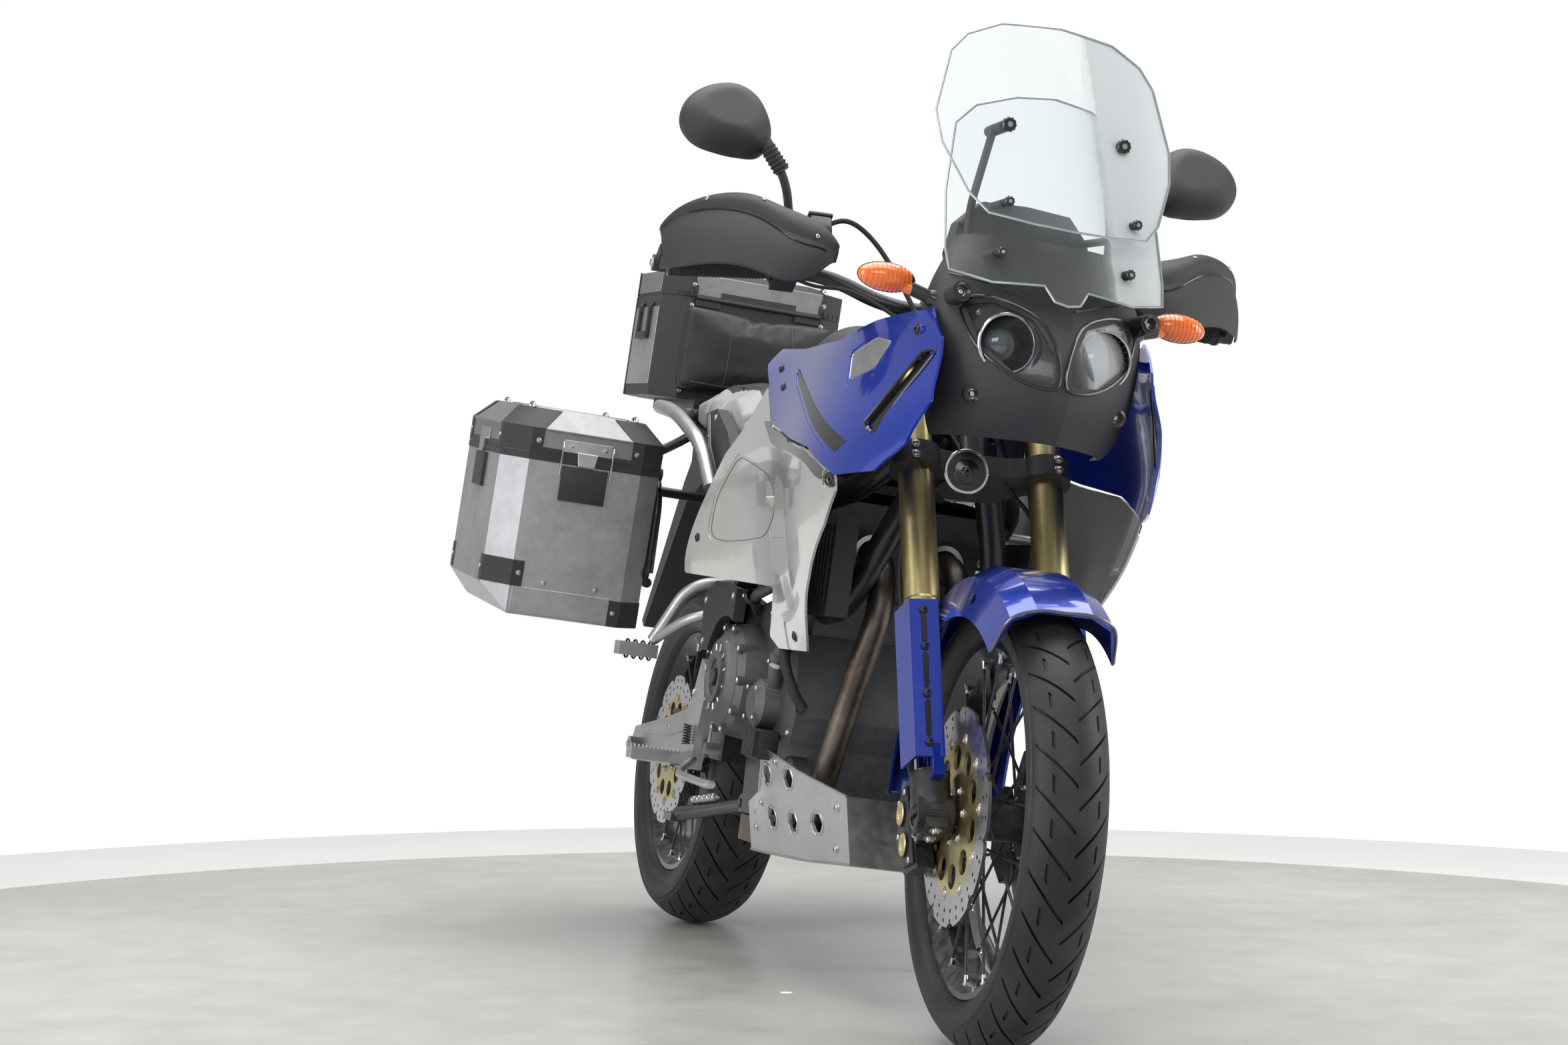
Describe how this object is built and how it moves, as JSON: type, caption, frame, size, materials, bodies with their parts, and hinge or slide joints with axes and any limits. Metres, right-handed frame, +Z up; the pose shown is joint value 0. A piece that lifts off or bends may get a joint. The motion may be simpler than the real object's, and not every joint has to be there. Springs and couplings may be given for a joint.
{
  "type": "adventure motorcycle",
  "caption": "Adventure touring motorcycle with spoked wheels, tall screens, crash bars, aluminium side cases and a top case, parked leaning on its side stand.",
  "frame": {"origin": "centre of the bounding box, on the ground", "axes": "+Z up, the front wheel towards -Y, the rider's left towards +X; the bike leans to its left on the side stand"},
  "size_m": [1.1134, 2.2831, 1.4929],
  "materials": {
    "tyre_rubber": "satin black tread rubber",
    "black_rim": "satin black",
    "bright_hub": "cast, with steel spokes",
    "disc_steel": "ground steel",
    "gold_anodised": "gold anodised",
    "hard_chrome": "polished",
    "black_cast": "satin black casting",
    "dark_bar": "dark anodised",
    "black_rubber": "matt",
    "black_plastic": "fine grained",
    "blue_paint": "metallic blue lacquer",
    "silver_paint": "silver white lacquer",
    "clear_screen": "clear sheet",
    "lamp_glass": "clear",
    "lamp_black": "lamp housing",
    "red_lens": "red lens",
    "black_frame": "black powder coat",
    "engine_grey": "grey casting",
    "exhaust_steel": "heat tinted steel",
    "bright_plate": "brushed plate",
    "spring_steel": "painted coil",
    "seat_cover": "grained vinyl over foam",
    "case_aluminium": "brushed and anodised"
  },
  "bodies": {
    "frame": {"backrest": "seat_cover", "case_racks": "black_frame", "dashboard": "black_plastic", "engine": "engine_grey", "exhaust_pipes": "exhaust_steel", "final_drive": "black_cast", "footrests": "bright_plate", "frame": "black_frame", "front_signals": "black_plastic", "fuel_tank": "blue_paint", "grab_rails": "black_frame", "headlamp_bodies": "lamp_black", "headlamp_lenses": "lamp_glass", "inner_cover": "black_plastic", "nose_cowl": "black_plastic", "pannier_left": "case_aluminium", "pannier_right": "case_aluminium", "passenger_seat": "seat_cover", "radiator": "engine_grey", "rear_caliper": "black_cast", "rear_fender": "black_plastic", "rear_shock": "spring_steel", "rider_seat": "seat_cover", "side_covers": "black_plastic", "side_cowls": "blue_paint", "side_panels": "silver_paint", "silencer": "exhaust_steel", "skid_plate": "bright_plate", "swingarm": "black_cast", "tail_lamp": "red_lens", "top_case": "case_aluminium", "windscreens": "clear_screen"},
    "steering": {"fork_outer_tubes": "gold_anodised", "fork_inner_tubes": "hard_chrome", "fork_lowers": "black_cast", "front_calipers": "black_cast", "triple_clamps": "black_cast", "handlebar": "dark_bar", "hand_controls": "black_rubber", "handguards": "black_plastic", "mirrors": "black_plastic", "front_fender": "blue_paint"},
    "front_wheel": {"front_tyre": "tyre_rubber", "front_rim": "black_rim", "front_hub": "bright_hub", "front_discs": "disc_steel"},
    "rear_wheel": {"rear_tyre": "tyre_rubber", "rear_rim": "black_rim", "rear_hub": "bright_hub", "rear_disc": "disc_steel"},
    "side_stand": {"side_stand": "black_frame"},
    "centre_stand": {"centre_stand": "black_frame"},
    "pannier_lid_left": {"pannier_lid_left": "case_aluminium"},
    "pannier_lid_right": {"pannier_lid_right": "case_aluminium"},
    "top_case_lid": {"top_case_lid": "case_aluminium"}
  },
  "joints": [
    {"name": "steering", "type": "hinge", "parent": "frame", "child": "steering", "pos_m": [0.00915, -0.51183, 0.79661], "axis": [0.1258, 0.4695, 0.8739], "range_deg": [-31.6, 40.4]},
    {"name": "front_wheel_spin", "type": "hinge", "parent": "steering", "child": "front_wheel", "pos_m": [-0.06167, -0.8129, 0.32776], "axis": [0.992, -0.0673, -0.1066], "continuous": true},
    {"name": "rear_wheel_spin", "type": "hinge", "parent": "frame", "child": "rear_wheel", "pos_m": [-0.05959, 0.72699, 0.31903], "axis": [0.9898, 0, -0.1425], "continuous": true},
    {"name": "side_stand_fold", "type": "hinge", "parent": "frame", "child": "side_stand", "pos_m": [0.10372, -0.01301, 0.27441], "axis": [0.9078, -0.1191, 0.4023], "range_deg": [0, 88.7]},
    {"name": "centre_stand_swing", "type": "hinge", "parent": "frame", "child": "centre_stand", "pos_m": [-0.06798, 0.17199, 0.26073], "axis": [-0.9898, 0, 0.1425], "range_deg": [0, 90], "stiffness_Nm_per_rad": 8, "springref_deg": -85.94},
    {"name": "pannier_lid_left_hinge", "type": "hinge", "parent": "frame", "child": "pannier_lid_left", "pos_m": [0.40451, 0.81739, 0.79188], "axis": [-0.9898, 0, 0.1425], "range_deg": [0, 95]},
    {"name": "pannier_lid_right_hinge", "type": "hinge", "parent": "frame", "child": "pannier_lid_right", "pos_m": [-0.3715, 0.81739, 0.90357], "axis": [-0.9898, 0, 0.1425], "range_deg": [0, 95]},
    {"name": "top_case_lid_hinge", "type": "hinge", "parent": "frame", "child": "top_case_lid", "pos_m": [0.06507, 0.82651, 1.18517], "axis": [0.9898, 0, -0.1425], "range_deg": [0, 95]}
  ]
}
